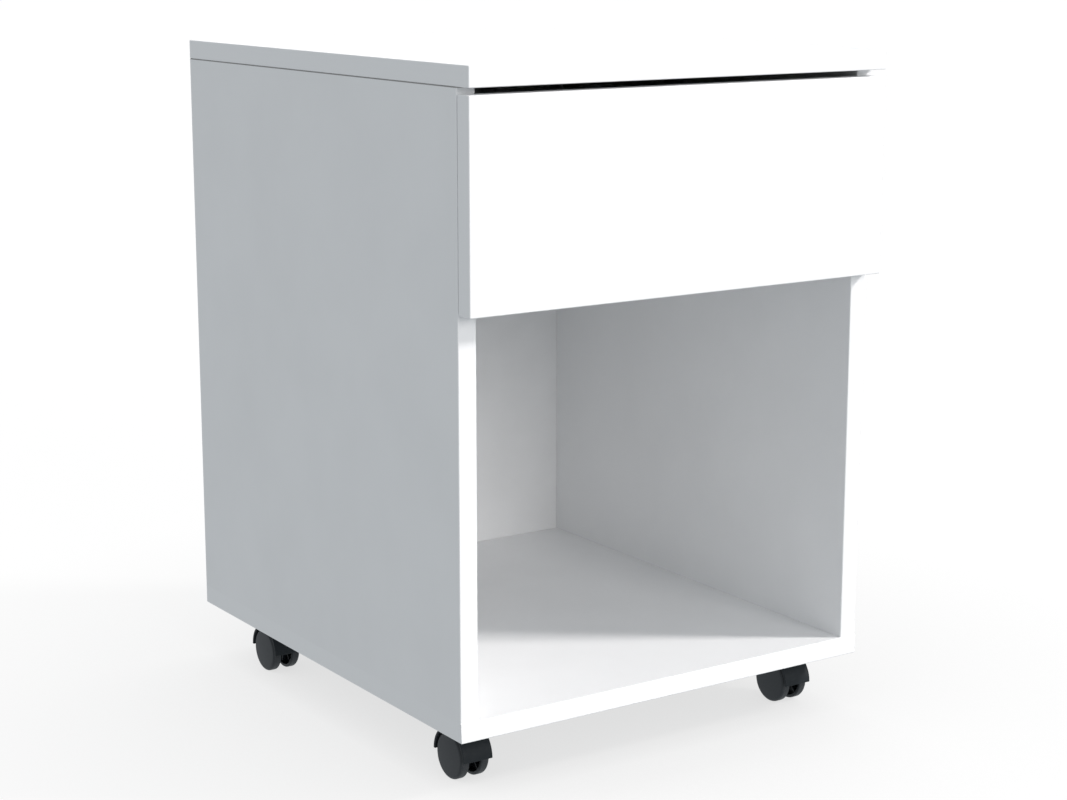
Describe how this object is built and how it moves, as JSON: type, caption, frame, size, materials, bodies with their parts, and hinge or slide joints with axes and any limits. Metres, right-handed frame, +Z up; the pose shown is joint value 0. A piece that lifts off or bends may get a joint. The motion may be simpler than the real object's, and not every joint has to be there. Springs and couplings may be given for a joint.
{
  "type": "rolling pedestal cabinet",
  "caption": "Rolling pedestal cabinet: white board carcass with a handle-less top drawer on roller runners, an open file compartment below, and hooded twin-wheel swivel casters.",
  "frame": {"origin": "on the floor, under the middle of the cabinet's outline", "axes": "+Z up, the drawer opens towards -Y, +X to the right seen from the front"},
  "size_m": [0.45, 0.52, 0.637],
  "materials": {
    "white_board": "white melamine-faced board, satin",
    "hardboard": "white-painted hardboard",
    "beech": "bare beech",
    "die_cast_zinc": "die-cast zinc",
    "zinc_steel": "zinc-plated steel",
    "white_runner": "white epoxy-coated steel",
    "nylon": "natural nylon",
    "black_plastic": "black moulded plastic, fine texture"
  },
  "bodies": {
    "cabinet": {"top_panel": "white_board", "bottom_panel": "white_board", "side_panel_left": "white_board", "side_panel_right": "white_board", "divider_shelf": "white_board", "back_panel": "hardboard", "carcass_dowels": "beech", "carcass_cam_locks": "die_cast_zinc", "carcass_cam_bolts": "zinc_steel", "base_screws": "zinc_steel", "cabinet_runner_left": "white_runner", "cabinet_runner_right": "white_runner", "cabinet_runner_screws": "zinc_steel", "front_roller_studs": "zinc_steel", "caster_plate_fl": "zinc_steel", "caster_plate_fr": "zinc_steel", "caster_plate_rl": "zinc_steel", "caster_plate_rr": "zinc_steel", "kingpin_fl": "zinc_steel", "kingpin_fr": "zinc_steel", "kingpin_rl": "zinc_steel", "kingpin_rr": "zinc_steel", "caster_screws": "zinc_steel", "swivel_washers": "nylon", "retaining_rings": "zinc_steel"},
    "drawer": {"drawer_front": "white_board", "drawer_side_left": "white_board", "drawer_side_right": "white_board", "drawer_back": "white_board", "drawer_bottom": "hardboard", "drawer_dowels": "beech", "drawer_cam_locks": "die_cast_zinc", "drawer_cam_bolts": "zinc_steel", "drawer_back_screws": "zinc_steel", "drawer_bottom_nails": "zinc_steel", "drawer_runner_left": "white_runner", "drawer_runner_right": "white_runner", "drawer_runner_screws": "zinc_steel", "rear_roller_studs": "zinc_steel"},
    "front_roller_left": {"front_roller_left": "nylon"},
    "rear_roller_left": {"rear_roller_left": "nylon"},
    "front_roller_right": {"front_roller_right": "nylon"},
    "rear_roller_right": {"rear_roller_right": "nylon"},
    "caster_fl": {"caster_hood_fl": "black_plastic", "caster_axle_fl": "zinc_steel"},
    "wheel_fl_a": {"caster_wheel_fl_a": "black_plastic"},
    "wheel_fl_b": {"caster_wheel_fl_b": "black_plastic"},
    "caster_fr": {"caster_hood_fr": "black_plastic", "caster_axle_fr": "zinc_steel"},
    "wheel_fr_a": {"caster_wheel_fr_a": "black_plastic"},
    "wheel_fr_b": {"caster_wheel_fr_b": "black_plastic"},
    "caster_rl": {"caster_hood_rl": "black_plastic", "caster_axle_rl": "zinc_steel"},
    "wheel_rl_a": {"caster_wheel_rl_a": "black_plastic"},
    "wheel_rl_b": {"caster_wheel_rl_b": "black_plastic"},
    "caster_rr": {"caster_hood_rr": "black_plastic", "caster_axle_rr": "zinc_steel"},
    "wheel_rr_a": {"caster_wheel_rr_a": "black_plastic"},
    "wheel_rr_b": {"caster_wheel_rr_b": "black_plastic"}
  },
  "joints": [
    {"name": "drawer_slide", "type": "slide", "parent": "cabinet", "child": "drawer", "axis": [0, -1, 0], "range_m": [0, 0.33]},
    {"name": "front_roller_left_turn", "type": "hinge", "parent": "cabinet", "child": "front_roller_left", "pos_m": [-0.20165, -0.226, 0.467], "axis": [1, 0, 0], "range_deg": [0, 1460]},
    {"name": "rear_roller_left_turn", "type": "hinge", "parent": "drawer", "child": "rear_roller_left", "pos_m": [-0.19985, 0.19725, 0.4668], "axis": [1, 0, 0], "range_deg": [0, 1765]},
    {"name": "front_roller_right_turn", "type": "hinge", "parent": "cabinet", "child": "front_roller_right", "pos_m": [0.20165, -0.226, 0.467], "axis": [1, 0, 0], "range_deg": [0, 1460]},
    {"name": "rear_roller_right_turn", "type": "hinge", "parent": "drawer", "child": "rear_roller_right", "pos_m": [0.19985, 0.19725, 0.4668], "axis": [1, 0, 0], "range_deg": [0, 1765]},
    {"name": "caster_fl_swivel", "type": "hinge", "parent": "cabinet", "child": "caster_fl", "pos_m": [-0.185, -0.17, 0.045], "axis": [0, 0, 1], "continuous": true},
    {"name": "wheel_fl_a_roll", "type": "hinge", "parent": "caster_fl", "child": "wheel_fl_a", "pos_m": [-0.1949, -0.18, 0.0215], "axis": [1, 0, 0], "continuous": true},
    {"name": "wheel_fl_b_roll", "type": "hinge", "parent": "caster_fl", "child": "wheel_fl_b", "pos_m": [-0.1751, -0.18, 0.0215], "axis": [1, 0, 0], "continuous": true},
    {"name": "caster_fr_swivel", "type": "hinge", "parent": "cabinet", "child": "caster_fr", "pos_m": [0.185, -0.17, 0.045], "axis": [0, 0, 1], "continuous": true},
    {"name": "wheel_fr_a_roll", "type": "hinge", "parent": "caster_fr", "child": "wheel_fr_a", "pos_m": [0.1751, -0.18, 0.0215], "axis": [1, 0, 0], "continuous": true},
    {"name": "wheel_fr_b_roll", "type": "hinge", "parent": "caster_fr", "child": "wheel_fr_b", "pos_m": [0.1949, -0.18, 0.0215], "axis": [1, 0, 0], "continuous": true},
    {"name": "caster_rl_swivel", "type": "hinge", "parent": "cabinet", "child": "caster_rl", "pos_m": [-0.185, 0.19, 0.045], "axis": [0, 0, 1], "continuous": true},
    {"name": "wheel_rl_a_roll", "type": "hinge", "parent": "caster_rl", "child": "wheel_rl_a", "pos_m": [-0.1949, 0.18, 0.0215], "axis": [1, 0, 0], "continuous": true},
    {"name": "wheel_rl_b_roll", "type": "hinge", "parent": "caster_rl", "child": "wheel_rl_b", "pos_m": [-0.1751, 0.18, 0.0215], "axis": [1, 0, 0], "continuous": true},
    {"name": "caster_rr_swivel", "type": "hinge", "parent": "cabinet", "child": "caster_rr", "pos_m": [0.185, 0.19, 0.045], "axis": [0, 0, 1], "continuous": true},
    {"name": "wheel_rr_a_roll", "type": "hinge", "parent": "caster_rr", "child": "wheel_rr_a", "pos_m": [0.1751, 0.18, 0.0215], "axis": [1, 0, 0], "continuous": true},
    {"name": "wheel_rr_b_roll", "type": "hinge", "parent": "caster_rr", "child": "wheel_rr_b", "pos_m": [0.1949, 0.18, 0.0215], "axis": [1, 0, 0], "continuous": true}
  ],
  "couplings": [
    {"joint": "front_roller_left_turn", "follows": "drawer_slide", "rad_per_m": 76.923},
    {"joint": "rear_roller_left_turn", "follows": "drawer_slide", "rad_per_m": 93.023},
    {"joint": "front_roller_right_turn", "follows": "drawer_slide", "rad_per_m": 76.923},
    {"joint": "rear_roller_right_turn", "follows": "drawer_slide", "rad_per_m": 93.023}
  ]
}
